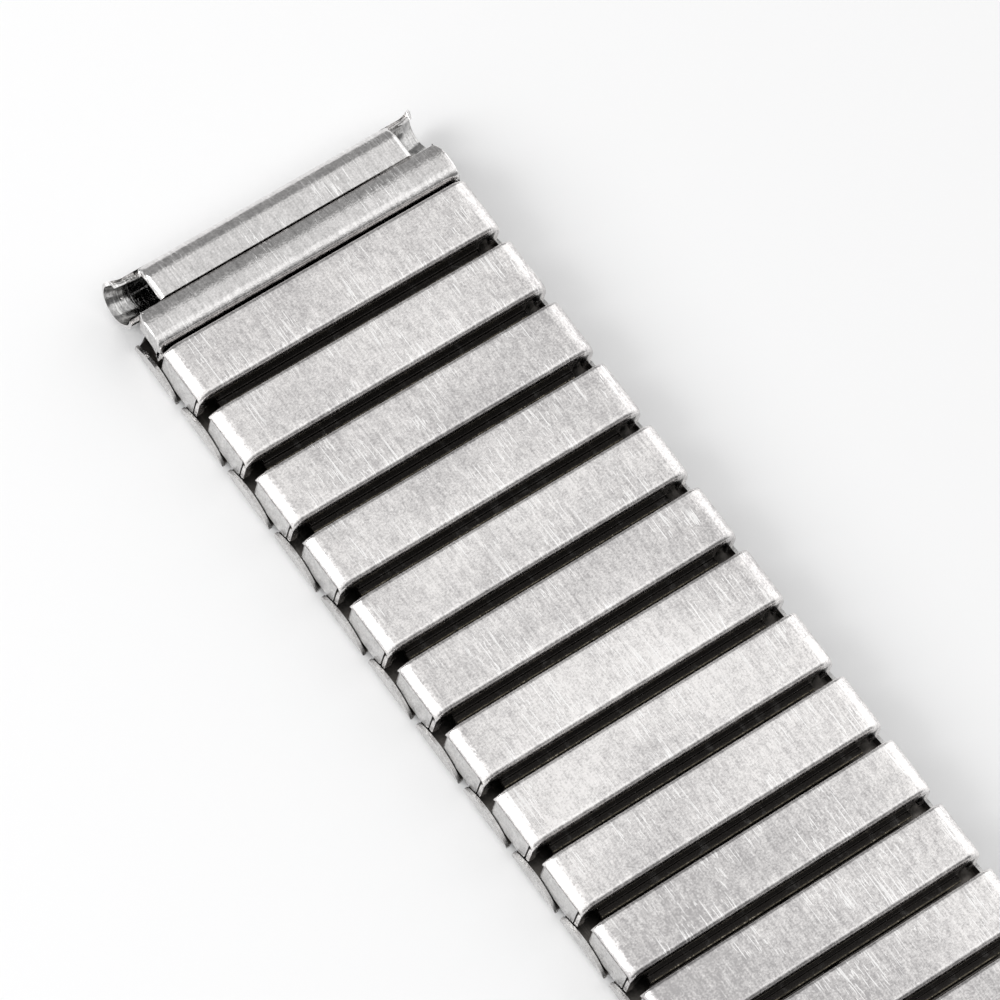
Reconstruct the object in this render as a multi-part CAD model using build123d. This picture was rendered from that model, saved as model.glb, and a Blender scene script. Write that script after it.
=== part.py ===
from build123d import *
import os

# An expansion watch band, laid flat with the wrist side up, in millimetres.
# X runs along the band, Y across it. The origin is at the middle, on the face of the outer row.
# Two rows of links lie half a pitch apart. Flat wire bows reach in from both sides and tie
# each facing link to the two outer links under it. A leaf spring in each link holds the bow legs.

os.makedirs("parts", exist_ok=True)

# The band as a whole
band_width = 20.0
link_pitch = 4.34
facing_count = 27
row_gap = 0.15
overrun = 1.0

# Facing links, the plain row on the wrist side
facing_length = 3.37
facing_height = 1.55
facing_sheet = 0.25
facing_edge_radius = 0.42
facing_end_width = 0.45
facing_end_drop = 0.50
flap_seam = 0.06
flap_foot_gap = 0.25
front_strip_height = 1.65
closing_sheet = 0.20

# Outer links, the row that shows when the band is worn
outer_length = 3.90
outer_height = 1.30
outer_sheet = 0.25
outer_edge_radius = 0.42
outer_seam = 0.20
foot_sheet = 0.20
ear_sheet = 0.20
ear_gap = 0.05
ear_back = 1.45
ear_back_height = 0.45
ear_crest = 0.20
ear_height = 0.90
ear_front = 2.40
ear_front_height = 0.12

# Bows
leg_width = 0.60
leg_thickness = 0.35
leg_middle_gap = 1.00
web_sheet = 0.35
bow_lean = 1.00
bow_clearance = 0.10
web_inset = 0.85
leg_spacing = 0.20
leg_stop_gap = 0.085
stretch_travel = 1.20
notch_height = 0.65

# Leaf springs
leaf_sheet = 0.15
leaf_length = 16.0
leaf_middle = 6.0
leaf_side_gap = 0.20
leaf_gap = 0.03
leaf_leg_gap = 0.12

# End pieces, with the roll that holds the watch's spring bar
bar_diameter = 1.80
bar_clearance = 0.08
roll_sheet = 0.30
roll_slit = 0.12
roll_slit_turn = 24.0
hump_length = 2.40
hump_edge_radius = 0.35
hump_corner_radius = 0.50
hump_drop = 0.20
hump_groove = 0.08
hump_back_wall = 0.25
end_link_gap = 0.255
end_overlap = 0.10
roll_notch_length = 1.95
roll_notch_rise = 0.20
end_leg_stop_gap = 0.05
end_pivot_inset = 0.80

# Places worked out from the sizes above
band_height = outer_height + row_gap + facing_height
facing_floor = outer_height + row_gap
half_width = band_width / 2
half_pitch = link_pitch / 2
outer_count = facing_count + 1
facing_inner = facing_length / 2 - facing_sheet
outer_inner = outer_length / 2 - outer_sheet
upper_leg_z = facing_floor + closing_sheet + bow_clearance + leg_thickness / 2
lower_leg_z = outer_height - outer_sheet - bow_clearance - leg_thickness / 2
ear_inner = half_width + ear_gap
web_outer = half_width - web_inset
web_inner = web_outer - web_sheet
tube_end = web_inner - bow_clearance
notch_outer = web_outer + leg_spacing
slide_leg_x = facing_inner - leg_width / 2 - leg_stop_gap - stretch_travel
pivot_leg_x = slide_leg_x - leg_width - leg_spacing

# Places on the end piece at -X, from the middle of the link that it stands in for
end_middle = (facing_count + 1) * half_pitch
hump_front = link_pitch - facing_length / 2 - end_link_gap
hump_back = hump_front - hump_length
hump_inner_front = hump_front - facing_sheet
hump_inner_back = hump_back + hump_back_wall
hump_shoulder = band_height - hump_drop
hump_ceiling = hump_shoulder - facing_sheet
bore_radius = bar_diameter / 2 + bar_clearance
roll_radius = bore_radius + roll_sheet
roll_x = hump_back + end_overlap / 2 - roll_radius
roll_z = band_height - roll_radius
end_slide_leg = hump_inner_back + leg_width / 2 + end_leg_stop_gap
end_pivot_leg = -(hump_front - end_pivot_inset)


def block(x0, x1, y0, y1, z0, z1):
    place = Pos((x0 + x1) / 2, (y0 + y1) / 2, (z0 + z1) / 2)
    return place * Box(x1 - x0, y1 - y0, z1 - z0)


def prism_along_y(points, y0, y1):
    # A closed outline in X and Z, drawn out from y0 to y1
    face = make_face(Polyline([(x, y0, z) for x, z in points], close=True))
    return extrude(face, amount=y1 - y0, dir=(0, 1, 0))


def rounded_bar(length, width, z0, z1, top_radius, bottom_radius):
    # A bar along Y with its long edges rounded
    bar = block(-length / 2, length / 2, -width / 2, width / 2, z0, z1)
    long_edges = bar.edges().filter_by(Axis.Y)
    if top_radius:
        bar = fillet(long_edges.group_by(Axis.Z)[-1], top_radius)
        long_edges = bar.edges().filter_by(Axis.Y)
    if bottom_radius:
        bar = fillet(long_edges.group_by(Axis.Z)[0], bottom_radius)
    return bar


def both_sides(cutter):
    return [cutter, mirror(cutter, about=Plane.XZ)]


def leaf_spring(width, z_low, z_high):
    # A strip along Y, bent so that its middle bears on the plate and its ends on the legs
    crest = leaf_middle / 2
    tip = leaf_length / 2
    lower = [(-tip, z_low), (-crest, z_high - leaf_sheet), (crest, z_high - leaf_sheet), (tip, z_low)]
    upper = [(y, z + leaf_sheet) for y, z in reversed(lower)]
    face = make_face(Polyline([(0, y, z) for y, z in lower + upper], close=True))
    return extrude(face, amount=width / 2, dir=(1, 0, 0), both=True)


def facing_link():
    end = facing_length / 2
    cover = rounded_bar(facing_length, band_width, facing_floor, band_height, facing_edge_radius, 0)
    side = block(-end, end, -half_width, half_width, facing_floor, band_height)
    side_edges = side.edges().filter_by(Axis.X).group_by(Axis.Z)[-1]
    top_face = side.faces().sort_by(Axis.Z)[-1]
    cover = cover & chamfer(side_edges, facing_end_width, facing_end_drop, reference=top_face)
    wall_y = half_width - facing_sheet
    flap_top = band_height - facing_end_drop - flap_seam
    flap_foot = foot_sheet + flap_foot_gap
    for side in both_sides(block(-end, end, wall_y, half_width, flap_foot, flap_top)):
        cover += side
    cover -= block(-facing_inner, facing_inner, -wall_y, wall_y, 0, band_height - facing_sheet)
    cutters = [
        block(-facing_inner, facing_inner, wall_y - flap_seam, half_width + overrun,
              flap_top, flap_top + flap_seam),
        block(facing_inner - flap_seam, facing_inner, wall_y - flap_seam, half_width + overrun,
              0, flap_top),
        block(facing_inner - flap_seam, end + overrun, wall_y - flap_seam, half_width + overrun,
              0, flap_top - front_strip_height),
        block(-end - overrun, end + overrun, tube_end, notch_outer,
              0, facing_floor + notch_height),
    ]
    for cutter in cutters:
        for part in both_sides(cutter):
            cover -= part
    plate = block(-facing_inner, facing_inner, -tube_end, tube_end,
                  facing_floor, facing_floor + closing_sheet)
    leaf = leaf_spring(2 * facing_inner - 2 * leaf_side_gap,
                       upper_leg_z + leg_thickness / 2 + leaf_leg_gap,
                       band_height - facing_sheet - leaf_gap)
    return [cover, plate, leaf]


def bow(upper_x, lower_x):
    # One U of flat wire on the +Y side: two flat legs and a leaning web
    half_leg = leg_width / 2
    half_thick = leg_thickness / 2
    outline = [
        (upper_x - half_leg, upper_leg_z + half_thick), (upper_x + half_leg, upper_leg_z + half_thick),
        (upper_x + half_leg, upper_leg_z - half_thick), (lower_x + half_leg, lower_leg_z + half_thick),
        (lower_x + half_leg, lower_leg_z - half_thick), (lower_x - half_leg, lower_leg_z - half_thick),
        (lower_x - half_leg, lower_leg_z + half_thick), (upper_x - half_leg, upper_leg_z - half_thick),
    ]
    wire = prism_along_y(outline, web_inner, web_outer)
    for x, z in ((upper_x, upper_leg_z), (lower_x, lower_leg_z)):
        wire += block(x - half_leg, x + half_leg, leg_middle_gap / 2, web_inner,
                      z - half_thick, z + half_thick)
    return wire


def outer_link(slide_x, pivot_x):
    # slide_x and pivot_x are the places of the two pairs of upper legs, from this link's middle
    case = rounded_bar(outer_length, 2 * ear_inner, 0, outer_height, 0, outer_edge_radius)
    for side in both_sides(block(-outer_length, outer_length, tube_end, half_width + overrun,
                                 foot_sheet, outer_height + overrun)):
        case -= side
    case -= block(-outer_inner, outer_inner, -half_width, half_width, outer_sheet, outer_height - outer_sheet)
    case -= block(-outer_seam / 2, outer_seam / 2, -half_width, half_width,
                  outer_height - outer_sheet, outer_height + overrun)
    crest = ThreePointArc((-ear_back, ear_inner, ear_back_height), (ear_crest, ear_inner, ear_height),
                          (ear_front, ear_inner, ear_front_height))
    rim = Polyline(crest @ 1, (ear_front, ear_inner, 0), (-ear_back, ear_inner, 0), crest @ 0)
    for side in both_sides(extrude(make_face([crest, rim]), amount=ear_sheet, dir=(0, 1, 0))):
        case += side
    leaf = leaf_spring(2 * outer_inner - 2 * leaf_side_gap, outer_sheet + leaf_gap,
                       lower_leg_z - leg_thickness / 2 - leaf_gap)
    bows = both_sides(bow(slide_x, slide_x + bow_lean)) + both_sides(bow(pivot_x, pivot_x - bow_lean))
    return [case, leaf] + bows


def hump():
    # The arched cover over the first joint, open below
    crown = ThreePointArc((hump_back, 0, hump_shoulder), ((hump_back + hump_front) / 2, 0, band_height),
                          (hump_front, 0, hump_shoulder))
    rim = Polyline(crown @ 1, (hump_front, 0, facing_floor), (hump_back, 0, facing_floor), crown @ 0)
    cover = extrude(make_face([crown, rim]), amount=half_width, dir=(0, 1, 0), both=True)
    top = cover.faces().sort_by(Axis.Z)[-1]
    rounded = top.edges().sort_by(Axis.X)[1:]
    cover = fillet(rounded, hump_edge_radius)
    below = facing_floor - overrun
    plan = block(hump_back, hump_front, -half_width, half_width, below, band_height + overrun)
    cover = cover & fillet(plan.edges().filter_by(Axis.Z).group_by(Axis.X)[0], hump_corner_radius)
    wall_y = half_width - facing_sheet
    cover -= block(hump_inner_back, hump_inner_front, -wall_y, wall_y, below, hump_ceiling)
    for cutter in both_sides(block(hump_inner_back, hump_front + overrun, tube_end, notch_outer,
                                   below, facing_floor + notch_height)):
        cover -= cutter
    return cover


def along_roll(shape):
    return Pos(roll_x, 0, roll_z) * shape


def end_piece():
    # Roll and hump of one sheet, the end at -X
    past_side = half_width + overrun
    shell = along_roll(Rot(X=90) * Cylinder(roll_radius, band_width))
    shell += block(roll_x, hump_back, -half_width, half_width, band_height - roll_sheet, band_height)
    shell += hump()
    joined = half_width - hump_corner_radius
    shell += block(hump_back - end_overlap, hump_inner_back, -joined, joined, facing_floor, hump_shoulder)
    shell -= block(hump_back - hump_groove, hump_back, -past_side, past_side,
                   hump_shoulder, band_height + overrun)
    shell -= along_roll(Rot(X=90) * Cylinder(bore_radius, 2 * past_side))
    slit = block(0, roll_radius + overrun / 2, -past_side, past_side, -roll_slit / 2, roll_slit / 2)
    shell -= along_roll(Rot(Y=roll_slit_turn) * slit)
    notch = block(roll_x - roll_radius - overrun, hump_back - end_overlap, half_width - roll_notch_length,
                  past_side, roll_z + roll_notch_rise, band_height + overrun)
    for cutter in both_sides(notch):
        shell -= cutter
    return shell


def end_insert():
    plate = block(hump_inner_back, hump_inner_front, -tube_end, tube_end,
                  facing_floor, facing_floor + closing_sheet)
    leaf = leaf_spring(hump_inner_front - hump_inner_back - 2 * leaf_side_gap,
                       upper_leg_z + leg_thickness / 2 + leaf_leg_gap, hump_ceiling - leaf_gap)
    return [plate, Pos((hump_inner_front + hump_inner_back) / 2, 0, 0) * leaf]


def save(name, pieces):
    export_step(Compound(label=name, children=pieces), f"parts/{name}.step")


def place(pieces, x):
    return [Pos(x, 0, 0) * piece for piece in pieces]


facing = facing_link()
for i in range(facing_count):
    x = (i - (facing_count - 1) / 2) * link_pitch
    save(f"facing_link_{i + 1:02d}", place(facing, x))

slide_leg = slide_leg_x - half_pitch
pivot_leg = pivot_leg_x + half_pitch
for i in range(outer_count):
    x = (i - (outer_count - 1) / 2) * link_pitch
    slide_here = end_slide_leg - half_pitch if i == 0 else slide_leg
    pivot_here = end_pivot_leg + half_pitch if i == outer_count - 1 else pivot_leg
    save(f"outer_link_{i:02d}", place(outer_link(slide_here, pivot_here), x))

left_end = place([end_piece()], -end_middle)
left_insert = place(end_insert(), -end_middle)
save("end_piece_left", left_end)
save("end_insert_left", left_insert)
save("end_piece_right", [mirror(piece, about=Plane.YZ) for piece in left_end])
save("end_insert_right", [mirror(piece, about=Plane.YZ) for piece in left_insert])

print("band length", round(2 * (end_middle - roll_x + roll_radius), 3))
print("roll centre", round(roll_x - end_middle, 4), round(roll_z, 4))
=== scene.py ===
import bpy
import numpy as np
from math import radians, pi
from mathutils import Matrix, Vector


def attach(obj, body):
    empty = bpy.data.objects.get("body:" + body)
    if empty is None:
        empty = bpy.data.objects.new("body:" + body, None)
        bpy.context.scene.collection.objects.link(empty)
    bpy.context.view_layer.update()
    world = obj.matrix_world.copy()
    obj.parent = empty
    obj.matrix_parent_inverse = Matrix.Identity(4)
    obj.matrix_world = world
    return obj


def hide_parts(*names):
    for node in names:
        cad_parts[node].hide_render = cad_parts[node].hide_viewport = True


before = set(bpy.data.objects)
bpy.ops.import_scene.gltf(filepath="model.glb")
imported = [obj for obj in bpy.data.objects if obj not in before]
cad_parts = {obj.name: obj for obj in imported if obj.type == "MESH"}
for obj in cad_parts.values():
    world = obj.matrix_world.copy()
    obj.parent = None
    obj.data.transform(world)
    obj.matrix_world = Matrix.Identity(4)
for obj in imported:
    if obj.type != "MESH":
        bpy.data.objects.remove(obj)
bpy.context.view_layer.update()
print("frame loaded,", len(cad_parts), "nodes")

# Expansion watch band. Shapes are worked out in millimetres and go into the meshes in metres.
# X runs along the band, Y across it, Z towards the wrist side.
mm = 0.001
band = {
    "pitch": 4.34, "count": 27, "halfWidth": 10.0, "top": 3.0,
    "facingFloor": 1.45,                        # where the facing links end below
    "tubeEnd": 8.70,                            # half the width over which both rows are closed tubes
    "upperLegZ": 1.925, "lowerLegZ": 0.775,     # middle heights of a bow's two legs
}


def spread(start, end, count):
    # evenly spaced values with both ends
    return np.linspace(start, end, count)


def turn(centre, radius, startDegrees, endDegrees, count):
    # points of an arc: centre plus radius times (cosine, sine) of an angle in even steps
    angle = np.radians(spread(startDegrees, endDegrees, count))
    return np.stack([centre[0] + radius * np.cos(angle), centre[1] + radius * np.sin(angle)], axis=1)


def line(start, end, count):
    # points of a straight run in even steps
    share = spread(0, 1, count)[:, None]
    return (1 - share) * np.array(start, float) + share * np.array(end, float)


def chain(*runs):
    # runs of points or values joined end to end, each without the one it shares with the run before
    return np.concatenate([runs[0]] + [run[1:] for run in runs[1:]])


def smooth(value, low, high):
    # 0 up to low, 1 from high on, and between them three times the square of the share less twice its cube
    share = np.clip((value - low) / (high - low), 0, 1)
    return share * share * (3 - 2 * share)


def gridMesh(points, keep=None):
    # points is rows by columns by 3, and each cell is a quad of its four corners. keep marks the cells that
    # stay, and points that no quad uses are dropped.
    rows, columns = points.shape[:2]
    index = np.arange(rows * columns).reshape(rows, columns)
    quads = np.stack([index[:-1, :-1], index[:-1, 1:], index[1:, 1:], index[1:, :-1]], axis=-1)
    quads = quads.reshape(-1, 4) if keep is None else quads[keep]
    used, new = np.unique(quads, return_inverse=True)
    return points.reshape(-1, 3)[used], new.reshape(quads.shape)


def thicken(mesh, thickness):
    # a sheet from its outer surface: the surface, a copy moved inwards by the thickness along the mean of the
    # quads' normals, which are the cross products of their diagonals, and a rim along each open edge. The
    # last value is each quad's layer: 0 outside, 1 inside, 2 rim.
    points, quads = mesh
    a, b, c, d = (points[quads[:, k]] for k in range(4))
    face = np.cross(c - a, d - b)
    normals = np.zeros_like(points)
    for k in range(4):
        np.add.at(normals, quads[:, k], face)
    normals /= np.maximum(np.linalg.norm(normals, axis=1, keepdims=True), 1e-12)
    inner = points - normals * thickness
    count = len(points)
    edges = np.concatenate([quads[:, [k, (k + 1) % 4]] for k in range(4)])
    ordered = np.sort(edges, axis=1)
    _, first, times = np.unique(ordered, axis=0, return_index=True, return_counts=True)
    rim = edges[first[times == 1]]
    walls = np.stack([rim[:, 1], rim[:, 0], rim[:, 0] + count, rim[:, 1] + count], axis=1)
    layer = np.repeat([0, 1, 2], [len(quads), len(quads), len(walls)])
    return np.concatenate([points, inner]), np.concatenate([quads, quads[:, ::-1] + count, walls]), layer


def weld(mesh):
    # merges points that lie in the same place
    points, quads = mesh
    reach = 1e-5
    _, first, new = np.unique(np.round(points / reach).astype(np.int64), axis=0,
                              return_index=True, return_inverse=True)
    return points[first], new.reshape(-1)[quads]


def bar(path, across, width, thickness, edge):
    # a rounded flat section carried along a path. across is the fixed width direction, and the thickness
    # direction is square to it and to the path. Each end closes to the path's last point.
    tangent = np.gradient(path, axis=0)
    tangent /= np.linalg.norm(tangent, axis=1, keepdims=True)
    up = np.cross(tangent, across)
    up /= np.linalg.norm(up, axis=1, keepdims=True)
    w, h = width / 2 - edge, thickness / 2 - edge
    section = chain(turn((w, h), edge, 0, 90, 3), turn((-w, h), edge, 90, 180, 3),
                    turn((-w, -h), edge, 180, 270, 3), turn((w, -h), edge, 270, 360, 3))
    ring = path[:, None, :] + section[None, :, :1] * across + section[None, :, 1:] * up[:, None, :]
    closed = np.concatenate([ring, ring[:, :1]], axis=1)
    tips = [path[:1, None, :] + 0 * closed[:1], path[-1:, None, :] + 0 * closed[-1:]]
    return weld(gridMesh(np.concatenate([tips[0], closed, tips[1]], axis=0)))


def slab(xRange, yRange, zRange, edge):
    # a flat plate as a bar along Y with rounded long edges
    (x0, x1), (z0, z1) = xRange, zRange
    y = spread(*yRange, 5)
    path = np.stack([np.full(5, (x0 + x1) / 2), y, np.full(5, (z0 + z1) / 2)], axis=1)
    return bar(path, (1, 0, 0), x1 - x0, z1 - z0, edge)


def mirrored(mesh, axis):
    # the same mesh reflected in the plane square to axis, with its faces turned to point outwards again
    points, quads, *layer = mesh
    flip = np.ones(3)
    flip[axis] = -1
    return points * flip, quads[:, ::-1], *layer


def bothSides(mesh):
    # a mesh and its mirror image at the other side of the band
    return [mesh, mirrored(mesh, 1)]


def shifted(parts, x):
    # every mesh of a piece moved along the band
    return [((mesh[0] + np.array([x, 0, 0]), *mesh[1:]), number) for mesh, number in parts]


def addPiece(name, meshes, materials, body, nodes, sharp=40):
    # meshes is a list of (mesh, material number), or for a sheet (mesh, a number for each of its layers).
    # All go into one object at the origin, in metres. A corner that a quad has twice is dropped, and a quad
    # goes when fewer than three are left.
    points, quads, numbers, offset = [], [], [], 0
    for (p, q, *layer), number in meshes:
        points.append(p * mm)
        quads.append(q + offset)
        numbers.append(np.array(number)[layer[0]] if layer else np.full(len(q), number))
        offset += len(p)
    points, quads, numbers = np.concatenate(points), np.concatenate(quads), np.concatenate(numbers)
    fresh = np.stack([(quads[:, :k] != quads[:, k:k + 1]).all(axis=1) for k in range(4)], axis=1)
    solid = fresh.sum(axis=1) > 2
    quads, fresh, numbers = quads[solid], fresh[solid], numbers[solid]
    corners = fresh.sum(axis=1)
    data = bpy.data.meshes.new(name)
    data.vertices.add(len(points))
    data.vertices.foreach_set("co", points.astype(np.float32).ravel())
    data.loops.add(int(corners.sum()))
    data.loops.foreach_set("vertex_index", quads[fresh].astype(np.int32))
    data.polygons.add(len(corners))
    data.polygons.foreach_set("loop_start", (np.cumsum(corners) - corners).astype(np.int32))
    data.update(calc_edges=True)
    for material in materials:
        data.materials.append(material)
    data.polygons.foreach_set("material_index", numbers.astype(np.int32))
    data.shade_smooth()
    data.set_sharp_from_angle(angle=radians(sharp))
    data.update()
    piece = bpy.data.objects.new(name, data)
    bpy.context.scene.collection.objects.link(piece)
    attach(piece, body)
    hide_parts(*nodes)


def newGroup(name, inputs, outputs):
    group = bpy.data.node_groups.new(name, "ShaderNodeTree")
    for socketName, value in inputs:
        socket = group.interface.new_socket(name=socketName, in_out="INPUT", socket_type="NodeSocketFloat")
        socket.default_value = value
    for socketName in outputs:
        group.interface.new_socket(name=socketName, in_out="OUTPUT", socket_type="NodeSocketFloat")
    return group, group.nodes.new("NodeGroupInput"), group.nodes.new("NodeGroupOutput")


def put(tree, kind, links=(), **values):
    # a node with its settings. links gives (input, socket or value) pairs, and values names properties.
    node = tree.nodes.new(kind)
    for key, value in values.items():
        setattr(node, key, value)
    for key, source in links:
        if hasattr(source, "is_output"):
            tree.links.new(source, node.inputs[key])
        else:
            node.inputs[key].default_value = source
    return node


def calculate(tree, operation, *terms, clamp=False):
    node = put(tree, "ShaderNodeMath", list(enumerate(terms)), operation=operation, use_clamp=clamp)
    return node.outputs[0]


def mixColour(tree, share, first, second):
    return put(tree, "ShaderNodeMix", [(0, share), (6, first), (7, second)], data_type="RGBA").outputs[2]


def ramp(tree, value, low, high, toLow=0.0, toHigh=1.0):
    # a smooth step of value from low to high
    node = put(tree, "ShaderNodeMapRange",
               [("Value", value), ("From Min", low), ("From Max", high), ("To Min", toLow), ("To Max", toHigh)],
               interpolation_type="SMOOTHSTEP")
    return node.outputs["Result"]


def noise(tree, place, look):
    # noise on object coordinates. look gives features per millimetre along each axis, detail and roughness.
    perMm, detail, rough = look
    mapping = put(tree, "ShaderNodeMapping", [("Vector", place), ("Scale", [scale / mm for scale in perMm])])
    return put(tree, "ShaderNodeTexNoise", [("Vector", mapping.outputs[0]), ("Scale", 1.0), ("Detail", detail),
                                            ("Roughness", rough)]).outputs[0]


grainLooks = {
    # features per millimetre along X, Y and Z, then detail and roughness
    "clouds": ((0.09, 0.06, 0.09), 2.0, 0.50),
    "mottle": ((2.2, 2.6, 2.2), 4.0, 0.62),
    "specks": ((9.0, 7.0, 9.0), 1.0, 0.60),
    "streaks": ((0.40, 7.0, 0.40), 3.0, 0.70),
    "longScratches": ((0.35, 7.5, 0.35), 1.0, 0.50),
    "shortScratches": ((1.3, 9.0, 1.3), 1.0, 0.50),
    "patches": ((0.28, 0.34, 0.28), 2.0, 0.60),
    # the noise values between which scratches and their patches set in
    "longPeaks": (0.62, 0.67), "shortPeaks": (0.645, 0.69), "patchPeaks": (0.46, 0.58),
}


def makeSteelGrain():
    # tone is the sum of wide clouds, mottle, specks and streaks along X, each less a half and times its own
    # strength. Scratches are the narrow peaks of noise drawn out along X, kept to patches by a wider noise.
    names = ["Clouds", "Mottle", "Streaks", "Scratches"]
    group, start, end = newGroup("steelGrain", [(name, 1.0) for name in names], ["Tone", "Scratch", "Height"])
    place = put(group, "ShaderNodeTexCoord").outputs["Object"]
    strength = start.outputs

    def centred(look, factor):
        value = calculate(group, "SUBTRACT", noise(group, place, grainLooks[look]), 0.5)
        return calculate(group, "MULTIPLY", value, strength[factor])

    def peaks(look, span):
        return ramp(group, noise(group, place, grainLooks[look]), *grainLooks[span])

    clouds, mottle = centred("clouds", "Clouds"), centred("mottle", "Mottle")
    specks, streaks = centred("specks", "Mottle"), centred("streaks", "Streaks")
    either = calculate(group, "MAXIMUM", peaks("longScratches", "longPeaks"), peaks("shortScratches", "shortPeaks"))
    marks = calculate(group, "MULTIPLY", either, peaks("patches", "patchPeaks"))
    scratch = calculate(group, "MULTIPLY", marks, strength["Scratches"], clamp=True)
    fine = calculate(group, "ADD", specks, streaks)
    group.links.new(calculate(group, "ADD", calculate(group, "ADD", clouds, mottle), fine), end.inputs["Tone"])
    group.links.new(scratch, end.inputs["Scratch"])
    group.links.new(calculate(group, "ADD", fine, scratch), end.inputs["Height"])
    return group


# painted shade: settings of the near-black colour that stands in for the shade in the gaps between the links
gapShadeLook = {
    "soft": 0.06,        # half width of the border in millimetres
    # the noise that breaks the painted shade up, and how much of it stays between two of its values
    "breaks": ((1.5, 1.5, 1.5), 3.0, 0.6), "breakSpan": (0.30, 0.45), "breakShade": (0.93, 1.0),
}


def makePaintedGapShade():
    # painted shade between the links: a near-black colour put on the walls where the gaps are in shade. It covers
    # what lies between two heights and inside a distance from the middle of the band in Y and in X, with a soft
    # border, and noise breaks it up a little.
    group, start, end = newGroup(
        "paintedGapShade", [("Low", 0.0), ("High", 0.0024), ("Side", 0.0096), ("Reach", 1.0)], ["Shade"])
    place = put(group, "ShaderNodeTexCoord").outputs["Object"]
    x, y, z = put(group, "ShaderNodeSeparateXYZ", [(0, place)]).outputs
    soft = gapShadeLook["soft"] * mm

    def above(value, edge):
        return ramp(group, calculate(group, "SUBTRACT", value, start.outputs[edge]), -soft, soft)

    def below(value, edge):
        return calculate(group, "SUBTRACT", 1.0, above(value, edge))

    upright = calculate(group, "MULTIPLY", above(z, "Low"), below(z, "High"))
    level = calculate(group, "MULTIPLY", below(calculate(group, "ABSOLUTE", y), "Side"),
                      below(calculate(group, "ABSOLUTE", x), "Reach"))
    shade = calculate(group, "MULTIPLY", upright, level)
    broken = ramp(group, noise(group, place, gapShadeLook["breaks"]), *gapShadeLook["breakSpan"], *gapShadeLook["breakShade"])
    group.links.new(calculate(group, "MULTIPLY", shade, broken), end.inputs["Shade"])
    return group


steelGrain = makeSteelGrain()
paintedGapShade = makePaintedGapShade()


def steel(name, looks, shade=None):
    # bare steel: the grain's tone moves the colour and the roughness, scratches are brighter, and painted shade
    # darkens the walls between the links where the piece has any
    material = bpy.data.materials.new(name)
    material.use_nodes = True
    tree = material.node_tree
    tree.nodes.clear()
    grain = put(tree, "ShaderNodeGroup", node_tree=steelGrain)
    for key in ("Clouds", "Mottle", "Streaks", "Scratches"):
        grain.inputs[key].default_value = looks[key.lower()]
    tone, scratch, height = grain.outputs
    level = calculate(tree, "ADD", tone, 0.5, clamp=True)
    colour = mixColour(tree, level, looks["dark"], looks["light"])
    colour = mixColour(tree, scratch, colour, looks["scratchColour"])
    uneven = calculate(tree, "MULTIPLY", tone, looks["roughSpread"])
    rough = calculate(tree, "ADD", uneven, looks["roughness"], clamp=True)
    if shade:
        # painted shade: the near-black colour is mixed in on the walls in the gaps between the links
        gapShade = put(tree, "ShaderNodeGroup", node_tree=paintedGapShade)
        for key in ("Low", "High", "Side", "Reach"):
            gapShade.inputs[key].default_value = shade[key.lower()] * mm
        colour = mixColour(tree, gapShade.outputs[0], colour, shade["colour"])
    bump = put(tree, "ShaderNodeBump", [("Height", height), ("Strength", looks["bump"]), ("Distance", 0.02 * mm)])
    shader = put(tree, "ShaderNodeBsdfPrincipled", [
        ("Base Color", colour), ("Roughness", rough), ("Metallic", 1.0), ("Normal", bump.outputs[0])])
    out = put(tree, "ShaderNodeOutputMaterial")
    tree.links.new(shader.outputs[0], out.inputs["Surface"])
    return material


# the second dictionary places painted shade on the cover's walls in the gaps: heights, side, reach and the
# near-black colour
facingSteel = steel("facingSteel", {
    "clouds": 2.0, "mottle": 1.4, "streaks": 1.1, "scratches": 1.0,
    "dark": (0.50, 0.485, 0.485, 1), "light": (0.98, 0.955, 0.94, 1), "scratchColour": (1.0, 0.99, 0.98, 1),
    "roughness": 0.25, "roughSpread": 0.14, "bump": 0.25},
    {"low": 1.56, "high": 2.42, "side": 9.66, "reach": 1000.0, "colour": (0.030, 0.028, 0.027, 1)})
# rougher steel for faces turned to the side, the flaps and the hump's end walls; its colour is darker than the top
# steel's, a painted shade for these side faces
flapSteel = steel("flapSteel", {
    "clouds": 0.4, "mottle": 1.6, "streaks": 0.4, "scratches": 0.4,
    "dark": (0.46, 0.455, 0.45, 1), "light": (0.84, 0.83, 0.82, 1), "scratchColour": (0.95, 0.95, 0.95, 1),
    "roughness": 0.34, "roughSpread": 0.15, "bump": 0.45})
# the second dictionary places painted shade on the case in the gaps between the facing links
outerSteel = steel("outerSteel", {
    "clouds": 0.5, "mottle": 0.9, "streaks": 0.9, "scratches": 0.5,
    "dark": (0.46, 0.455, 0.45, 1), "light": (0.82, 0.81, 0.80, 1), "scratchColour": (0.97, 0.97, 0.96, 1),
    "roughness": 0.27, "roughSpread": 0.15, "bump": 0.3},
    {"low": 0.10, "high": 1.60, "side": 9.98, "reach": 1000.0, "colour": (0.035, 0.032, 0.030, 1)})
# the second dictionary places painted shade on the hump's front wall in the gap before the first link
endSteel = steel("endSteel", {
    "clouds": 0.3, "mottle": 1.1, "streaks": 1.2, "scratches": 1.0,
    "dark": (0.52, 0.51, 0.505, 1), "light": (0.96, 0.94, 0.93, 1), "scratchColour": (1.0, 0.99, 0.98, 1),
    "roughness": 0.16, "roughSpread": 0.14, "bump": 0.35},
    {"low": 0.0, "high": 2.44, "side": 9.70, "reach": 59.4, "colour": (0.030, 0.028, 0.027, 1)})
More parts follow.
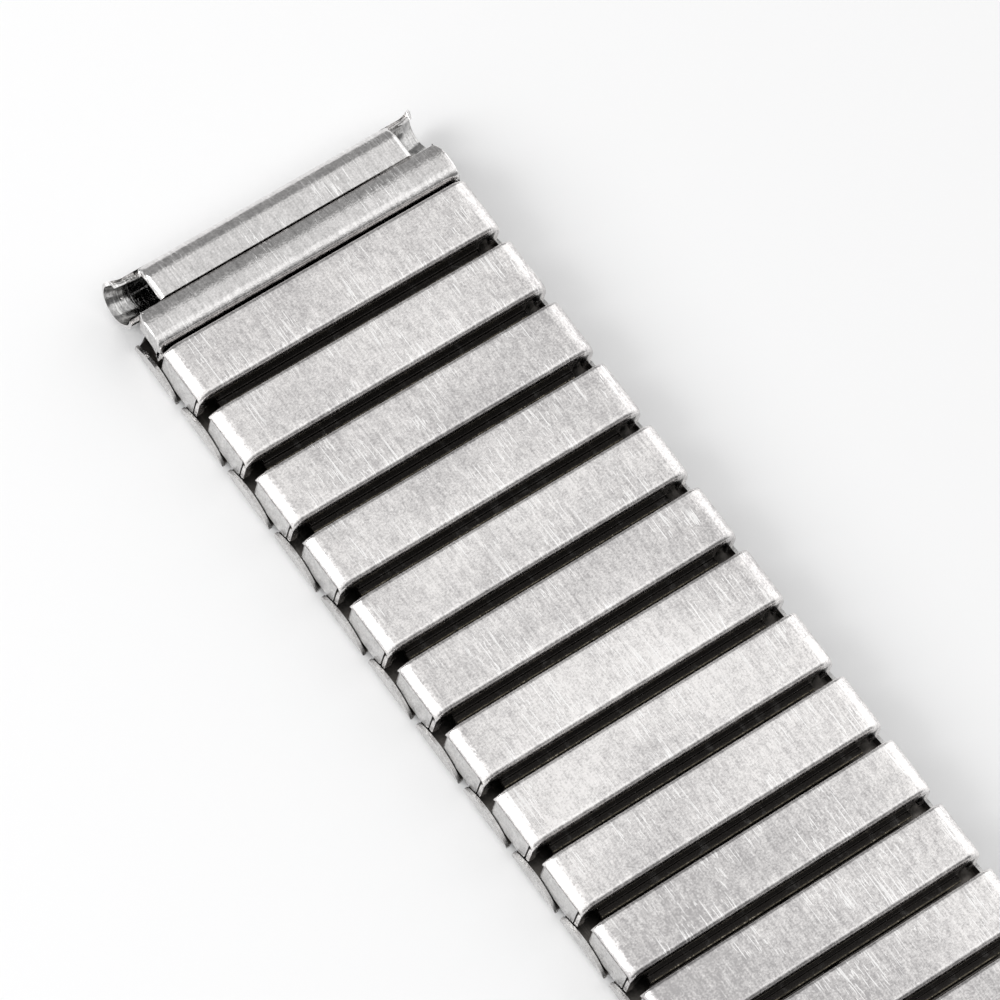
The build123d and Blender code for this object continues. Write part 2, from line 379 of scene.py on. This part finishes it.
# a darker copy of the end steel for the end piece's inside faces, inside the roll and under the hump: painted shade
troughShadeSteel = steel("troughShadeSteel", {
    "clouds": 0.3, "mottle": 0.9, "streaks": 1.2, "scratches": 0.6,
    "dark": (0.20, 0.20, 0.20, 1), "light": (0.72, 0.71, 0.70, 1), "scratchColour": (0.9, 0.9, 0.88, 1),
    "roughness": 0.12, "roughSpread": 0.10, "bump": 0.3})
# dark steel for the sheets' inside faces and for the plates, leaf springs and bows inside the band: painted shade,
# as little light reaches there
insideShadeSteel = steel("insideShadeSteel", {
    "clouds": 0.2, "mottle": 0.7, "streaks": 0.4, "scratches": 0.2,
    "dark": (0.08, 0.075, 0.07, 1), "light": (0.20, 0.185, 0.17, 1), "scratchColour": (0.4, 0.38, 0.35, 1),
    "roughness": 0.35, "roughSpread": 0.2, "bump": 0.2})
# dark, gold-tinged steel for the strips along the slit: painted shade in the gap between the facing links, a little
# less dark than the shade beside it
slitShadeSteel = steel("slitShadeSteel", {
    "clouds": 0.6, "mottle": 2.0, "streaks": 0.2, "scratches": 0.6,
    "dark": (0.035, 0.032, 0.025, 1), "light": (0.20, 0.175, 0.13, 1), "scratchColour": (0.5, 0.45, 0.36, 1),
    "roughness": 0.30, "roughSpread": 0.1, "bump": 0.3})
print("materials ready")


facing = {
    # the cover, measured from its middle line: walls, rounded edges and side ends
    "front": 1.685, "back": 1.81, "sheet": 0.25, "frontEdge": 0.40, "backEdge": 0.26,
    "endLength": 0.80, "endDrop": 0.51, "endPower": 1.5, "stripHeight": 1.65, "stripWidth": 0.45,
    # notches in both walls, which let the bows through
    "notchOuter": 9.35, "notchTop": 2.10, "notchStep": 0.03,
    # the flap that closes each side end, with its seam
    "flapSheet": 0.23, "seam": 0.10, "flapFoot": 0.60, "flapCorner": 0.22, "foldRadius": 0.30,
    # closing plate and leaf spring
    "plateSheet": 0.20, "plateEdge": 0.03, "leafSheet": 0.15, "leafEdge": 0.03, "leafLength": 16.0,
    "leafSideGap": 0.20, "leafOverLeg": 0.295, "leafUnderTop": 0.03,
}


def endRound(y, halfWidth, length, drop, power):
    # how far a surface has dropped at y on an oval quarter that starts one length before the end: the share of
    # the way out to the power, plus the share of the height left to the power, is 1
    into = np.clip((np.abs(y) - (halfWidth - length)) / length, 0, 1)
    return drop * (1 - (1 - into ** power) ** (1 / power))


def facingCover():
    # the cover's section, up the back wall, over the top and down the front wall, is carried across the band.
    # The top follows an oval quarter down at each side end, and the walls reach from it to the floor. At each
    # side a strip of the back wall is cut out for the flap, and the front wall goes further down.
    f, top, wide = facing, band["top"], band["halfWidth"]
    backEdge, frontEdge, stripStart = f["backEdge"], f["frontEdge"], wide - f["stripWidth"]
    back = turn((-f["back"] + backEdge, -backEdge), backEdge, 180, 90, 8)
    front = turn((f["front"] - frontEdge, -frontEdge), frontEdge, 90, 0, 8)
    flat = chain(back, line(back[-1], front[0], 9), front)
    share = spread(0, 1, 5)[1:]
    steps = len(share)
    sectionX = np.concatenate([np.full(steps, -f["back"]), flat[:, 0], np.full(steps, f["front"])])
    sectionDrop = np.concatenate([np.full(steps, backEdge), -flat[:, 1], np.full(steps, frontEdge)])
    downWall = np.concatenate([share[::-1], np.zeros(len(flat)), share])
    ends = wide - f["endLength"] + f["endLength"] * np.sin(np.radians(spread(0, 90, 11)))
    low, high, step = band["tubeEnd"], f["notchOuter"], f["notchStep"]
    extra = np.array([stripStart, low, low + step, high, high + step])
    y = chain(-ends[::-1], spread(-ends[0], ends[0], 41), ends)
    y = np.unique(np.round(np.concatenate([y, extra, -extra]), 6))
    crown = top - endRound(y, wide, f["endLength"], f["endDrop"], f["endPower"])
    past = 0.01        # a row belongs to a notch or strip from this far inside its edge
    atEnd = (np.abs(y) > stripStart + past)[:, None]
    inNotch = ((np.abs(y) > low + past) & (np.abs(y) < high + past))[:, None]
    floor = np.where(atEnd & (sectionX > 0), top - f["endDrop"] - f["stripHeight"], band["facingFloor"])
    floor = np.where(inNotch, f["notchTop"], floor)
    wallTop = crown[:, None] - sectionDrop
    z = wallTop + downWall * (floor - wallTop)
    points = np.stack([sectionX + 0 * z, y[:, None] + 0 * z, z], axis=-1)
    middleX = (sectionX[:-1] + sectionX[1:]) / 2
    middleY = np.abs(y[:-1] + y[1:]) / 2
    backWall = (downWall[:-1] + downWall[1:] > 0) & (middleX < 0)
    return thicken(gridMesh(points, ~((middleY > stripStart)[:, None] & backWall)), f["sheet"])


def facingFlap():
    # a tab of the back wall: its plan line runs along the back wall, round a vertical fold and along the
    # side, and each point of the line carries a strip from the foot up to the seam. The foot rises on a
    # quarter circle at the front corner.
    f, back, wide, fold = facing, facing["back"], band["halfWidth"], facing["foldRadius"]
    frontX = f["front"] - f["sheet"] - f["seam"]
    plan = chain(line((-back, -wide + f["stripWidth"]), (-back, -wide + fold), 3),
                 turn((-back + fold, -wide + fold), fold, 180, 270, 8),
                 line((-back + fold, -wide), (frontX, -wide), 16))
    top = band["top"] - f["endDrop"] - f["seam"]
    corner = f["flapCorner"]
    near = np.clip(corner - (frontX - plan[:, 0]), 0, corner)
    foot = (f["flapFoot"] + corner - np.sqrt(corner ** 2 - near ** 2))[:, None]
    z = foot + spread(0, 1, 7) * (top - foot)
    points = np.stack([plan[:, :1] + 0 * z, plan[:, 1:] + 0 * z, z], axis=-1)
    return thicken(gridMesh(points[:, ::-1]), f["flapSheet"])


def leafSpring(width, zEnds, zMiddle, x=0.0):
    # a strip across the band whose height follows a parabola from its middle to its ends
    f = facing
    y = spread(-f["leafLength"] / 2, f["leafLength"] / 2, 17)
    z = zMiddle - (zMiddle - zEnds) * (2 * y / f["leafLength"]) ** 2
    return bar(np.stack([x + 0 * y, y, z], axis=1), (1, 0, 0), width, f["leafSheet"], f["leafEdge"])


def facingMeshes():
    # cover, two flaps, the closing plate between the cover's walls, and the leaf spring over the bows' legs
    f, inner = facing, facing["front"] - facing["sheet"]
    floor, end, half = band["facingFloor"], band["tubeEnd"], f["leafSheet"] / 2
    flaps = [(mesh, (1, 2, 1)) for mesh in bothSides(facingFlap())]
    plate = slab((-inner, inner), (-end, end), (floor, floor + f["plateSheet"]), f["plateEdge"])
    leaf = leafSpring(2 * inner - 2 * f["leafSideGap"], band["upperLegZ"] + f["leafOverLeg"] + half,
                      band["top"] - f["sheet"] - f["leafUnderTop"] - half)
    return [(facingCover(), (0, 2, 0)), *flaps, (plate, 2), (leaf, 2)]


facingParts = facingMeshes()
for i in range(1, band["count"] + 1):
    node = f"facing_link_{i:02d}"
    x = (i - (band["count"] + 1) / 2) * band["pitch"]
    addPiece(f"facingLink{i:02d}", shifted(facingParts, x), [facingSteel, flapSteel, insideShadeSteel],
             node, [node])
print("facing links ready")


outer = {
    # the case, which is open along a slit, and the strips along the slit's edges
    "length": 3.90, "height": 1.30, "sheet": 0.20, "edgeRadius": 0.42, "foldRadius": 0.25,
    "seam": 0.20, "slitStripWidth": 0.06,
    # the ears: outer face, bend, back tip, crest and front tip, and where the case begins to pass into them
    "earFace": 10.25, "earBend": 0.14, "earBack": 1.45, "earBackHeight": 0.45, "earCrest": 0.20,
    "earHeight": 0.90, "earFront": 2.42, "earFrontHeight": 0.15, "earLeast": 0.01, "blendStart": 9.0,
    "bottomDegrees": 60,        # this much of the rounded edges goes on into the ears with the bottom
    # the bows, and how far their legs lie from the facing links' middles
    "legWidth": 0.60, "legThickness": 0.35, "legEdge": 0.06, "legMiddleGap": 1.00, "webPlace": 8.975,
    "bend": 0.18, "lean": 1.00, "slideLeg": -0.15, "pivotLeg": -0.95, "endSlideLeg": 0.60, "endPivotLeg": -1.60,
    # the leaf spring
    "leafEndGap": 0.25, "leafUnderLeg": 0.205, "leafOverBottom": 0.28,
}


def earCrestHeight(x):
    # the ear's upper edge: the circle through its back tip, its crest and its front tip
    o = outer
    ax, ay, bx, by, cx, cy = (-o["earBack"], o["earBackHeight"], o["earCrest"], o["earHeight"],
                              o["earFront"], o["earFrontHeight"])
    d = 2 * (ax * (by - cy) + bx * (cy - ay) + cx * (ay - by))
    aa, bb, cc = ax ** 2 + ay ** 2, bx ** 2 + by ** 2, cx ** 2 + cy ** 2
    ux = (aa * (by - cy) + bb * (cy - ay) + cc * (ay - by)) / d
    uy = (aa * (cx - bx) + bb * (ax - cx) + cc * (bx - ax)) / d
    return uy + np.sqrt((ax - ux) ** 2 + (ay - uy) ** 2 - (x - ux) ** 2)


def outerCase():
    # the case's section runs from one side of the slit round the bottom to the other. It is carried across
    # the band, and past the case's ends only its bottom goes on, bends up and becomes the ear.
    o, half, edge, fold = outer, outer["length"] / 2, outer["edgeRadius"], outer["foldRadius"]
    high, slit = o["height"], o["seam"] / 2
    stripOuter = slit + o["slitStripWidth"]
    left = chain(line((-slit, high), (-stripOuter, high), 2), line((-stripOuter, high), (-half + fold, high), 4),
                 turn((-half + fold, high - fold), fold, 90, 180, 5),
                 line((-half, high - fold), (-half, edge), 3),
                 turn((-half + edge, edge), edge, 180, 270, 10), line((-half + edge, 0), (0, 0), 6))
    section = chain(left, left[::-1] * np.array([-1, 1]))
    flatEnd = o["earFace"] - o["earBend"]
    out = spread(band["tubeEnd"], flatEnd, 7)[1:]
    bendY, bendZ = turn((flatEnd, o["earBend"]), o["earBend"], -90, 0, 6)[1:].T
    rise = spread(0, 1, 6)[1:]
    inCase = spread(-band["tubeEnd"], band["tubeEnd"], 33)
    sideY = np.concatenate([out, bendY, o["earFace"] + 0 * rise])
    sideZ = np.concatenate([0 * out, bendZ, o["earBend"] + 0 * rise])
    sideRise = np.concatenate([0 * out, 0 * bendY, rise])
    y = np.concatenate([-sideY[::-1], inCase, sideY])
    baseZ = np.concatenate([sideZ[::-1], 0 * inCase, sideZ])
    upward = np.concatenate([sideRise[::-1], 0 * inCase, sideRise])
    blend = smooth(np.abs(y), o["blendStart"], flatEnd)[:, None]
    bottom = np.abs(section[:, 1]) <= edge * (1 - np.cos(np.radians(o["bottomDegrees"]))) + 1e-6
    reach = np.abs(section[bottom, 0]).max()
    earX = -o["earBack"] + (section[:, 0] + reach) / (2 * reach) * (o["earBack"] + o["earFront"])
    earX = np.clip(earX, -o["earBack"], o["earFront"])
    x = (1 - blend) * section[:, 0] + blend * earX
    z = (1 - blend) * section[:, 1] + baseZ[:, None]
    z = z + upward[:, None] * np.maximum(earCrestHeight(earX) - o["earBend"], o["earLeast"])
    points = np.stack([x, y[:, None] + 0 * x, z], axis=-1)
    caseRow = np.abs(y[:-1] + y[1:]) / 2 < band["tubeEnd"]
    keep = caseRow[:, None] | (bottom[:-1] & bottom[1:])
    points, quads, layer = thicken(gridMesh(points[:, ::-1], keep[:, ::-1]), o["sheet"])
    # the strips along the slit's edges are layer 3, which take the dark slit steel: painted shade in the gap
    middle = points[quads].mean(axis=1)
    layer[(np.abs(middle[:, 0]) < stripOuter) & (middle[:, 2] > high - 1.1 * o["sheet"])] = 3
    return points, quads, layer


def bow(upperX, lowerX):
    # one U of flat wire: in along the upper leg, round a bend, down the leaning web and back along the lower leg
    o, bend, web, gap = outer, outer["bend"], outer["webPlace"], outer["legMiddleGap"] / 2
    zUp, zLow = band["upperLegZ"], band["lowerLegZ"]
    yz = chain(line((gap, zUp), (web - bend, zUp), 6), turn((web - bend, zUp - bend), bend, 90, 0, 5),
               line((web, zUp - bend), (web, zLow + bend), 5), turn((web - bend, zLow + bend), bend, 0, -90, 5),
               line((web - bend, zLow), (gap, zLow), 6))
    share = (zUp - yz[:, 1]) / (zUp - zLow)
    path = np.stack([upperX + share * (lowerX - upperX), yz[:, 0], yz[:, 1]], axis=1)
    return bar(path, (1, 0, 0), o["legWidth"], o["legThickness"], o["legEdge"])


def outerMeshes(slideX, pivotX):
    # case, four bows and the leaf spring under the bows' lower legs. slideX and pivotX place the upper legs.
    o, half = outer, facing["leafSheet"] / 2
    bows = bothSides(bow(slideX, slideX + o["lean"])) + bothSides(bow(pivotX, pivotX - o["lean"]))
    inner = o["length"] / 2 - o["leafEndGap"]
    leaf = leafSpring(2 * inner - 2 * facing["leafSideGap"], band["lowerLegZ"] - o["leafUnderLeg"] - half,
                      o["leafOverBottom"] + half)
    return [(outerCase(), (0, 1, 0, 2)), *((mesh, 1) for mesh in bows), (leaf, 1)]


halfPitch = band["pitch"] / 2
for i in range(band["count"] + 1):
    node = f"outer_link_{i:02d}"
    slideLeg = (outer["endSlideLeg"] if i == 0 else outer["slideLeg"]) - halfPitch
    pivotLeg = (outer["endPivotLeg"] if i == band["count"] else outer["pivotLeg"]) + halfPitch
    x = (i - band["count"] / 2) * band["pitch"]
    addPiece(f"outerLink{i:02d}", shifted(outerMeshes(slideLeg, pivotLeg), x), [outerSteel, insideShadeSteel, slitShadeSteel],
             node, [node])
print("outer links ready")


ending = {
    "place": -60.76,        # of the hump's back wall along the band
    # the hump, with its front round: how much of the edge's radius it spans, and how far it lies below the arch
    "humpLength": 2.335, "humpFoot": 1.45, "humpShoulder": 2.80, "humpEdge": 0.82, "edgeSpan": 0.80,
    "edgeDrop": 0.98, "edgeDegrees": 60, "backCorner": 0.12, "sheet": 0.22,
    # the roll, where the hump's back wall meets it, and the length of the wall's last run above it
    "rollX": -1.23, "rollRadius": 1.28, "rollSquareness": 2.2, "meetDegrees": 12, "meetRun": 0.12,
    # the top strip and the trough at both sides of it
    "groove": 0.035, "troughHalf": 10.2, "stripHalf": 8.12, "notchCorner": 0.45, "rimAngle": 28.0,
    "rimStep": 0.5, "rimCorner": 0.40,
    # the hump's side ends: cut corners, a turned edge, and a wall that is lower near the back
    "cornerCut": 0.36, "cornerLength": 0.9, "endTurn": 0.14, "endWall": 0.95, "wallSpan": (0.05, 0.60),
    "wallLeast": 0.04, "wallShows": 0.3,
    # the back wall's fold, in distances from the side, and the trough's flare
    "foldIn": 0.55, "foldSpan": (0.95, 0.25), "flare": 0.36, "flareStart": 9.25, "flarePast": 0.2,
    "flareSpan": (-0.7, 0.3),
    # plate and leaf spring under the hump
    "insertGap": 0.25, "leafUnderShoulder": 0.28,
}


def rollRun(startDegrees, endDegrees, count):
    # the roll's section: a circle on the side towards the hump, and on the outer side a squarer oval, whose
    # cosine and sine are raised to two over the squareness
    e = ending
    angle = np.radians(spread(startDegrees, endDegrees, count))
    power = np.where(np.cos(angle) < 0, 2 / e["rollSquareness"], 1.0)
    across = np.sign(np.cos(angle)) * np.abs(np.cos(angle)) ** power
    upward = np.sign(np.sin(angle)) * np.abs(np.sin(angle)) ** power
    centreZ, radius = band["top"] - e["rollRadius"], e["rollRadius"] - e["sheet"]
    return np.stack([e["rollX"] + radius * across, centreZ + radius * upward], axis=1)


def quarter(share):
    # one minus a quarter circle: 1 at share 0, 0 at share 1
    return 1 - np.sqrt(np.clip(1 - (1 - np.clip(share, 0, 1)) ** 2, 0, 1))


def endSection():
    # up the hump's front, over its arch, which is a parabola, down its back, round the inside of the roll and
    # under the top strip to the hump's back again. Each point has the name of its part.
    e, top = ending, band["top"]
    length, edge, corner = e["humpLength"], e["humpEdge"], e["backCorner"]
    archX = spread(length - edge * e["edgeSpan"], corner, 15)
    archZ = top - (top - e["humpShoulder"]) * ((archX - length / 2) / (length / 2)) ** 2
    frontRound = turn((length - edge, archZ[0] - edge * e["edgeDrop"]), edge, 0, e["edgeDegrees"], 7)
    frontRound[-1] = (archX[0], archZ[0])
    backTop = archZ[-1] - corner
    joint = rollRun(e["meetDegrees"], -180, 44)
    meet = (0, joint[0][1] + e["meetRun"])
    rim = 180 - e["rimAngle"]
    under = top - e["sheet"]
    runs = [("front", line((length, e["humpFoot"]), (length, frontRound[0][1]), 5)), ("top", frontRound),
            ("top", np.stack([archX, archZ], axis=1)), ("top", turn((corner, backTop), corner, 90, 180, 5)),
            ("back", line((0, backTop), meet, 12)), ("back", line(meet, joint[0], 3)), ("trough", joint),
            ("trough", rollRun(180, rim, 8)), ("strip", rollRun(rim, rim - e["rimStep"], 2)),
            ("strip", rollRun(rim - e["rimStep"], 90, 18)),
            ("strip", line((e["rollX"], under), (-e["groove"], under), 8))]
    part = np.array(["front"] + [name for name, run in runs for _ in run[1:]])
    return chain(*[run for _, run in runs]), part, backTop, joint[0][1]


def endHalfWidths(section, part):
    # each point of the section has its own half width: the hump's corners are cut off on a quarter circle
    # near its back, and a quarter circle each rounds the trough's rim and the corner of the strip
    e = ending
    along = np.concatenate([[0], np.cumsum(np.linalg.norm(np.diff(section, axis=0), axis=1))])
    rimAt = along[np.argmax(part == "strip")] - 1e-6
    cut = band["halfWidth"] - e["cornerCut"] * quarter(section[:, 0] / e["cornerLength"])
    half = np.where((part == "top") | (part == "back"), cut, band["halfWidth"])
    trough = e["troughHalf"] - e["rimCorner"] * quarter((rimAt - along) / e["rimCorner"])
    strip = e["stripHalf"] + e["notchCorner"] * quarter((along - rimAt) / e["notchCorner"])
    return np.where(part == "trough", trough, np.where(part == "strip", strip, half))


def endSheet():
    # the section is carried across the band in rows: even ones, then a quarter turn and a wall at each side.
    # The hump's top and the strip turn down there, and only the top has the wall. The sheet lies inside the
    # hump and outside this line of the roll.
    e, top, wide = ending, band["top"], band["halfWidth"]
    section, part, backTop, meetZ = endSection()
    half = endHalfWidths(section, part)
    x0, z0 = section.T
    isTop, isStrip, isTrough = part == "top", part == "strip", part == "trough"
    inNotch = np.array([band["tubeEnd"], facing["notchOuter"]]) / (wide - e["endTurn"])
    rows = np.unique(np.concatenate([spread(-1, 1, 61), inNotch, -inNotch]))
    flat = 0 * rows
    steps = 5
    angle = np.radians(spread(0, 90, steps + 1))[1:]
    out = np.concatenate([np.sin(angle), np.ones(steps)])
    down = np.concatenate([1 - np.cos(angle), np.ones(steps)])
    wall = np.concatenate([np.zeros(steps), spread(0, 1, steps + 1)[1:]])
    angle = np.radians(spread(0, 90, 2 * steps + 1))[1:]
    even = spread(0, 1, 2 * steps + 1)[1:]

    def bothEnds(values, middle, sign):
        return np.concatenate([sign * values[::-1], middle, values])[:, None]

    reach = np.where(isStrip, bothEnds(np.sin(angle), flat, -1), bothEnds(even, flat, -1))
    reach = np.where(isTop, bothEnds(out, flat, -1), reach)
    y = bothEnds(np.ones(2 * steps), rows, -1) * (half - e["endTurn"]) + reach * e["endTurn"]
    depth = e["endWall"] * (e["wallLeast"] + (1 - e["wallLeast"]) * smooth(x0, *e["wallSpan"]))
    turned = bothEnds(down, flat, 1) * isTop + bothEnds(1 - np.cos(angle), flat, 1) * isStrip
    z = z0 - turned * e["endTurn"] - bothEnds(wall, flat, 1) * depth * isTop
    # the back wall folds in under the hump near each side
    height = np.clip((backTop - z0) / (backTop - meetZ), 0, 1)
    foldStart, foldFull = e["foldSpan"]
    folded = smooth(np.abs(y), wide - foldStart, wide - foldFull)
    x = x0 + folded * e["foldIn"] * np.sin(pi * height) * (part == "back")
    # the trough widens outwards and downwards near each side
    away = np.stack([x0 - e["rollX"], z0 - (top - e["rollRadius"])]) / e["rollRadius"]
    opened = smooth(-away[0], *e["flareSpan"]) * isTrough * e["flare"]
    spreadOut = smooth(np.abs(y), e["flareStart"], e["troughHalf"] + e["flarePast"]) * opened
    x, z = x + spreadOut * away[0], z + spreadOut * np.minimum(away[1], 0)
    # the hump's front wall is notched where the bows pass through
    rowY = np.abs(y[1:, 0] + y[:-1, 0]) / 2
    notched = (rowY > band["tubeEnd"]) & (rowY < facing["notchOuter"])
    keep = ~(notched[:, None] & (part[1:] == "front"))
    points, quads, layer = thicken(gridMesh(np.stack([x, y, z], axis=-1)[::-1], keep[::-1]), e["sheet"])
    # on the roll the outside is the other layer, and the hump's end walls are layer 3, which takes the darker flap
    # steel as painted shade for these side faces
    onRoll = np.broadcast_to((isStrip | isTrough)[1:], keep.shape)[keep[::-1]]
    layer[:2 * len(onRoll)] = np.concatenate([onRoll, ~onRoll])
    middle = points[quads].mean(axis=1)
    isEnd = (layer == 0) & (middle[:, 0] > e["wallShows"]) & (np.abs(middle[:, 1]) > wide - e["endTurn"] / 3)
    layer[isEnd] = 3
    return points, quads, layer


def insertMeshes():
    # the plate that closes the hump below, and the leaf spring over the bows' legs
    e, f = ending, facing
    back, front = e["insertGap"], e["humpLength"] - e["insertGap"]
    floor, end, half = band["facingFloor"], band["tubeEnd"], f["leafSheet"] / 2
    plate = slab((back, front), (-end, end), (floor, floor + f["plateSheet"]), f["plateEdge"])
    leaf = leafSpring(front - back - 2 * f["leafSideGap"], band["upperLegZ"] + f["leafOverLeg"] + half,
                      e["humpShoulder"] - e["leafUnderShoulder"] - half, (back + front) / 2)
    return [(plate, 0), (leaf, 0)]


endKinds = [
    ("endPiece", "end_piece", [(endSheet(), (0, 1, 0, 2))], [endSteel, troughShadeSteel, flapSteel], "end_steel"),
    ("endInsert", "end_insert", insertMeshes(), [insideShadeSteel], "insert_steel"),
]
for side in ("left", "right"):
    for pieceName, nodeName, meshes, materials, slotName in endKinds:
        parts = shifted(meshes, ending["place"])
        if side == "right":
            parts = [(mirrored(mesh, 0), number) for mesh, number in parts]
        addPiece(pieceName + side.capitalize(), parts, materials, f"end_{side}", [f"{nodeName}_{side}"])
print("end pieces ready")


stage = {"size": 1.2, "drop": 0.0002, "colour": (0.885, 0.885, 0.887, 1), "roughness": 0.9, "gloss": 0.1}


def addFloor():
    # a flat pale square just under the band, which shows white around it and keeps its shadow
    material = bpy.data.materials.new("paleFloor")
    material.use_nodes = True
    shader = material.node_tree.nodes["Principled BSDF"]
    shader.inputs["Base Color"].default_value = stage["colour"]
    shader.inputs["Roughness"].default_value = stage["roughness"]
    shader.inputs["Specular IOR Level"].default_value = stage["gloss"]
    half = stage["size"] / 2
    corners = [(-half, -half), (half, -half), (half, half), (-half, half)]
    data = bpy.data.meshes.new("floor")
    data.from_pydata([(x, y, -stage["drop"]) for x, y in corners], [], [(0, 1, 2, 3)])
    data.materials.append(material)
    floor = bpy.data.objects.new("floor", data)
    bpy.context.scene.collection.objects.link(floor)


addFloor()

room = {
    # how bright the room is overhead, then for each side its brightness and where it begins and is full
    "overhead": 0.86, "tint": (1.0, 1.0, 1.0, 1),
    "left": (1.4, 0.34, 0.64), "right": (1.45, 0.46, 0.62), "front": (1.2, 0.05, 0.40),
    "lowFront": (0.22, 0.48, 0.80), "back": (0.34, 0.42, 0.56),
}


def makeRoom():
    # the brightness for a direction is the overhead value, drawn towards the value of the side that it points to
    # by a smooth step of how far it points there. The camera sees plain white instead.
    world = bpy.data.worlds.new("studio")
    bpy.context.scene.world = world
    world.use_nodes = True
    tree = world.node_tree
    tree.nodes.clear()
    toward = put(tree, "ShaderNodeSeparateXYZ", [(0, put(tree, "ShaderNodeTexCoord").outputs["Generated"])])
    x, y, z = toward.outputs
    level = room["overhead"]
    sides = [(calculate(tree, "MULTIPLY", y, -1.0), "left"), (y, "right"), (x, "front"), (x, "lowFront"),
             (calculate(tree, "MULTIPLY", x, -1.0), "back")]
    for reach, name in sides:
        value, begins, full = room[name]
        share = ramp(tree, reach, begins, full)
        level = put(tree, "ShaderNodeMix", [(0, share), (2, level), (3, value)]).outputs[0]
    lit = put(tree, "ShaderNodeBackground", [("Color", room["tint"]), ("Strength", level)])
    white = put(tree, "ShaderNodeBackground", [("Color", (1, 1, 1, 1)), ("Strength", 1.0)])
    seen = put(tree, "ShaderNodeLightPath").outputs["Is Camera Ray"]
    choose = put(tree, "ShaderNodeMixShader", [(0, seen), (1, lit.outputs[0]), (2, white.outputs[0])])
    out = put(tree, "ShaderNodeOutputWorld")
    tree.links.new(choose.outputs[0], out.inputs["Surface"])


makeRoom()

lamps = {
    # place and aim in metres, size in metres, power in watts
    "leftSide": {"place": (-0.25, -0.38, 0.24), "aim": (-0.03, 0, 0), "size": (0.24, 0.24), "power": 1.2},
}
for name, lamp in lamps.items():
    data = bpy.data.lights.new(name, "AREA")
    data.shape = "RECTANGLE"
    data.size, data.size_y = lamp["size"]
    data.energy = lamp["power"]
    light = bpy.data.objects.new(name, data)
    bpy.context.scene.collection.objects.link(light)
    toward = Vector(lamp["aim"]) - Vector(lamp["place"])
    light.matrix_world = Matrix.Translation(lamp["place"]) @ toward.to_track_quat("-Z", "Y").to_matrix().to_4x4()

view = {
    # the photograph's viewing angle: place in millimetres, and the picture's right, down and away directions
    "place": (57.649, -135.411, 337.244), "right": (0.58205, 0.7989, 0.15156),
    "down": (0.7688, -0.47995, -0.4226), "away": (-0.26487, 0.36249, -0.89356),
    "lens": 253.4, "sensor": 36, "near": 0.01,
}
cameraData = bpy.data.cameras.new("camera")
cameraData.lens = view["lens"]
cameraData.sensor_width = view["sensor"]
cameraData.clip_start = view["near"]
camera = bpy.data.objects.new("camera", cameraData)
bpy.context.scene.collection.objects.link(camera)
axes = Matrix([view["right"], [-v for v in view["down"]], [-v for v in view["away"]]]).transposed().to_4x4()
camera.matrix_world = Matrix.Translation(Vector(view["place"]) * mm) @ axes
bpy.context.scene.camera = camera
bpy.context.scene.view_settings.view_transform = "Standard"
print("stage, light and camera ready")
